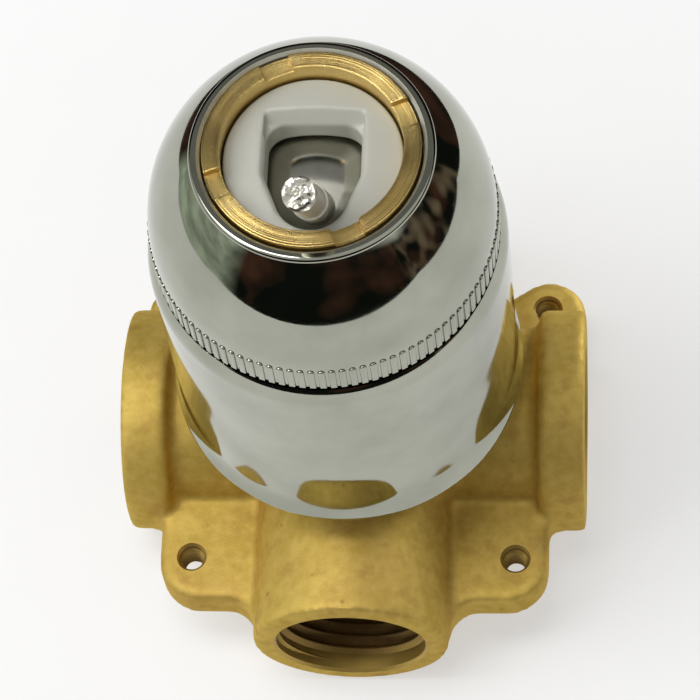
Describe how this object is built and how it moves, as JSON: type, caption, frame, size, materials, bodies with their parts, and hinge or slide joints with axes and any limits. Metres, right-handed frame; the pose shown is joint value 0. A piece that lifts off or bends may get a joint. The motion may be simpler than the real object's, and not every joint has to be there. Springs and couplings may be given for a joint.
{
  "type": "tub and shower valve",
  "caption": "Single-lever ball mixing valve for a tub and shower: cast body with threaded ports and mounting ears, plain trim sleeve, domed cap, notched ring, cam, ball and stem.",
  "frame": {"origin": "on the valve axis, in the plane of the flats on the back of the casting", "axes": "+Z along the valve axis out of the wall, -Y to the tub outlet, +X to the cold inlet"},
  "size_m": [0.064, 0.068, 0.1188],
  "materials": {
    "cast_brass": "sand cast, matte",
    "chrome_trim": "polished chrome plate",
    "turned_brass": "bright turned",
    "white_plastic": "moulded, satin",
    "steel": "polished ball, sawn stem end",
    "rubber": "moulded rubber"
  },
  "bodies": {
    "valve": {"valve_body": "cast_brass", "trim_sleeve": "chrome_trim", "sleeve_seal_lower": "rubber", "sleeve_seal_upper": "rubber", "bonnet_cap": "chrome_trim", "cam": "white_plastic", "cam_packing": "rubber", "hot_seat": "rubber", "cold_seat": "rubber", "hot_seat_spring": "steel", "cold_seat_spring": "steel"},
    "ring": {"adjusting_ring": "turned_brass"},
    "guide": {"guide_pin": "steel"},
    "lever": {"ball": "steel", "ball_stem": "steel"}
  },
  "joints": [
    {"name": "temperature_swing", "type": "hinge", "parent": "valve", "child": "guide", "pos_m": [0, 0, 0.0781], "axis": [0, 1, 0], "range_deg": [-7, 3]},
    {"name": "flow_tilt", "type": "hinge", "parent": "guide", "child": "lever", "pos_m": [0, 0, 0.0781], "axis": [0.9994, 0, -0.0349], "range_deg": [-30.2, 0]},
    {"name": "ring_turn", "type": "hinge", "parent": "valve", "child": "ring", "pos_m": [0, 0, 0.0949], "axis": [0, 0, 1], "range_deg": [-30, 30]}
  ]
}
